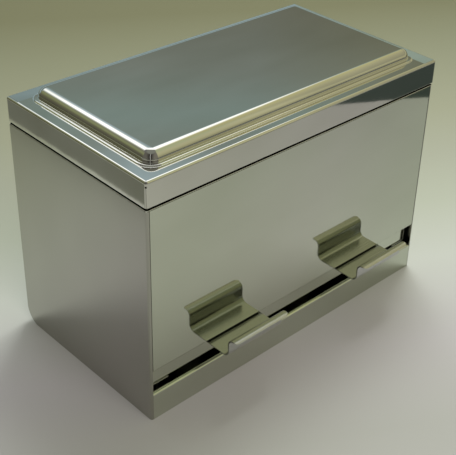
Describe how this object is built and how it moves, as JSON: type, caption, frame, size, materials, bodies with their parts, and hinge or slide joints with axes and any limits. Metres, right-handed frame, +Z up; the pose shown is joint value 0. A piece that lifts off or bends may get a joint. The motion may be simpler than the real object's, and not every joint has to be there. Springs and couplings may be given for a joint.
{
  "type": "chopstick box",
  "caption": "Rectangular sheet steel chopstick box with a lift-off pressed lid, a sloping hopper floor and a shallow drawer that slides out at the front on S-shaped finger tabs.",
  "frame": {"origin": "middle of the body's footprint, on the surface that the box stands on", "axes": "+X along the width, to the right as seen from the front; +Y from the front to the back; +Z up"},
  "size_m": [0.275, 0.175, 0.195],
  "materials": {
    "polished_stainless": "mirror polished",
    "satin_stainless": "fine satin polish",
    "mill_stainless": "cold-rolled mill finish"
  },
  "bodies": {
    "cabinet": {"front_panel": "polished_stainless", "left_side_panel": "satin_stainless", "right_side_panel": "satin_stainless", "base_and_back": "satin_stainless", "front_rail": "polished_stainless", "left_corner_angle": "mill_stainless", "right_corner_angle": "mill_stainless", "collar_front": "polished_stainless", "collar_back": "polished_stainless", "collar_left": "polished_stainless", "collar_right": "polished_stainless", "hopper_floor": "mill_stainless", "left_runner": "mill_stainless", "right_runner": "mill_stainless", "left_stop": "mill_stainless", "right_stop": "mill_stainless"},
    "drawer": {"drawer_tray": "polished_stainless", "drawer_left_end": "mill_stainless", "drawer_right_end": "mill_stainless", "shutter_plate": "mill_stainless", "left_pull_tab": "polished_stainless", "right_pull_tab": "polished_stainless"},
    "lid": {"lid_shell": "polished_stainless"}
  },
  "joints": [
    {"name": "drawer_slide", "type": "slide", "parent": "cabinet", "child": "drawer", "axis": [0, -1, 0], "range_m": [0, 0.045]},
    {"name": "lid_lift", "type": "slide", "parent": "cabinet", "child": "lid", "axis": [0, 0, 1], "range_m": [0, 0.08]}
  ]
}
